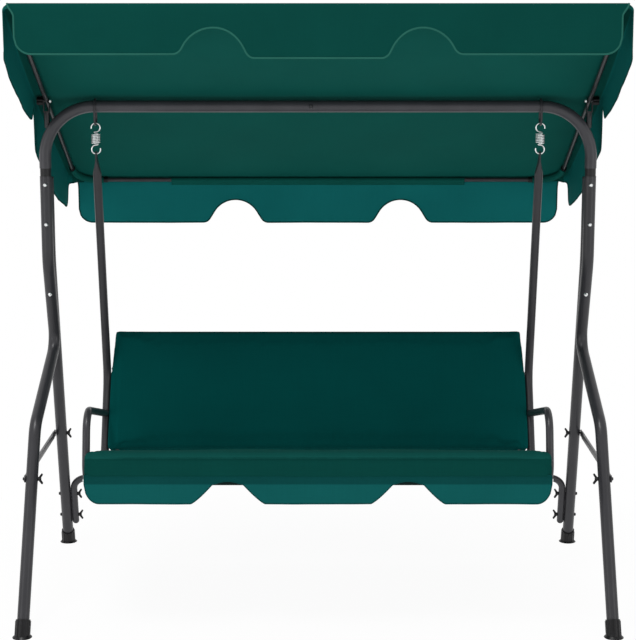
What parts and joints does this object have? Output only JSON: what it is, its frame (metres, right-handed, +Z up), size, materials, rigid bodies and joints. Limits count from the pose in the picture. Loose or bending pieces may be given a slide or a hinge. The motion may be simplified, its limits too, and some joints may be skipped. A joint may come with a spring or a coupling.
{
  "type": "canopy swing bench",
  "caption": "Garden swing bench on bent tube legs: a cushioned seat hangs by coil springs under a top beam, below a cloth canopy that tilts on knobbed brackets.",
  "frame": {"origin": "on the ground below the middle of the whole outline, 22.9 mm behind the top beam", "axes": "+X to the right of someone looking at the front, +Y to the rear, +Z up"},
  "size_m": [1.741, 1.1088, 1.7723],
  "materials": {
    "tube_paint": "satin charcoal powder coat",
    "zinc_steel": "bright zinc plate",
    "black_plastic": "moulded black",
    "canopy_cloth": "plain woven polyester",
    "cushion_cloth": "padded woven polyester",
    "sling_cloth": "plain woven polyester"
  },
  "bodies": {
    "frame": {"beam_bolt": "tube_paint", "beam_left": "tube_paint", "beam_nut": "tube_paint", "beam_right": "tube_paint", "brace_bolts": "zinc_steel", "brace_wing_nuts": "black_plastic", "canopy_bolts": "zinc_steel", "canopy_bracket_left": "tube_paint", "canopy_bracket_right": "tube_paint", "crossbar_bolts": "zinc_steel", "crossbar_end_plugs": "black_plastic", "crossbar_wing_nuts": "black_plastic", "front_foot_left": "black_plastic", "front_foot_right": "black_plastic", "front_leg_left": "tube_paint", "front_leg_right": "tube_paint", "leg_bolts": "zinc_steel", "leg_nuts": "zinc_steel", "rear_crossbar": "tube_paint", "rear_foot_left": "black_plastic", "rear_foot_right": "black_plastic", "rear_leg_left": "tube_paint", "rear_leg_plugs": "black_plastic", "rear_leg_right": "tube_paint", "side_brace_left": "tube_paint", "side_brace_right": "tube_paint"},
    "hangers": {"hanger_ring_left": "tube_paint", "hanger_ring_right": "tube_paint", "spring_left": "zinc_steel", "spring_right": "zinc_steel"},
    "seat": {"armrest_bolts": "zinc_steel", "armrest_left": "tube_paint", "armrest_right": "tube_paint", "back_bolts": "zinc_steel", "back_frame": "tube_paint", "back_nuts": "zinc_steel", "back_pad": "cushion_cloth", "back_spacers": "black_plastic", "hanger_end_plugs": "black_plastic", "hanger_tube_left": "tube_paint", "hanger_tube_right": "tube_paint", "seat_bar_bolts": "zinc_steel", "seat_front_bar": "tube_paint", "seat_pad": "cushion_cloth", "seat_rear_bar": "tube_paint", "seat_skirt": "canopy_cloth", "seat_sling": "sling_cloth"},
    "canopy": {"canopy_elbows": "black_plastic", "canopy_side_tube_left": "tube_paint", "canopy_side_tube_right": "tube_paint", "canopy_side_valance_left": "canopy_cloth", "canopy_side_valance_right": "canopy_cloth", "canopy_top_panel": "canopy_cloth", "canopy_front_bar": "tube_paint", "canopy_rear_bar": "tube_paint"},
    "front_valance": {"canopy_front_valance": "canopy_cloth"},
    "rear_valance": {"canopy_rear_valance": "canopy_cloth"},
    "knob_left": {"canopy_knob_left": "black_plastic"},
    "knob_right": {"canopy_knob_right": "black_plastic"}
  },
  "joints": [
    {"name": "seat_swing", "type": "hinge", "parent": "frame", "child": "hangers", "pos_m": [0, -0.0229, 1.481], "axis": [1, 0, 0], "range_deg": [-20, 20]},
    {"name": "seat_bounce", "type": "slide", "parent": "hangers", "child": "seat", "axis": [0, 0, 1], "range_m": [-0.02, 0], "stiffness_N_per_m": 30000, "springref_m": 0.016, "deforming": ["spring_left", "spring_right"]},
    {"name": "canopy_tilt", "type": "hinge", "parent": "frame", "child": "canopy", "pos_m": [0, -0.0229, 1.497], "axis": [1, 0, 0], "range_deg": [0, 53.3]},
    {"name": "front_valance_hang", "type": "hinge", "parent": "canopy", "child": "front_valance", "pos_m": [0, -0.54307, 1.75805], "axis": [1, 0, 0], "range_deg": [-53.3, 0]},
    {"name": "rear_valance_hang", "type": "hinge", "parent": "canopy", "child": "rear_valance", "pos_m": [0, 0.54196, 1.21352], "axis": [1, 0, 0], "range_deg": [-53.3, 0]},
    {"name": "knob_left_turn", "type": "hinge", "parent": "frame", "child": "knob_left", "pos_m": [-0.8097, -0.0229, 1.497], "axis": [-1, 0, 0], "continuous": true},
    {"name": "knob_right_turn", "type": "hinge", "parent": "frame", "child": "knob_right", "pos_m": [0.8097, -0.0229, 1.497], "axis": [1, 0, 0], "continuous": true}
  ],
  "couplings": [
    {"joint": "front_valance_hang", "follows": "canopy_tilt", "ratio": -1},
    {"joint": "rear_valance_hang", "follows": "canopy_tilt", "ratio": -1}
  ]
}
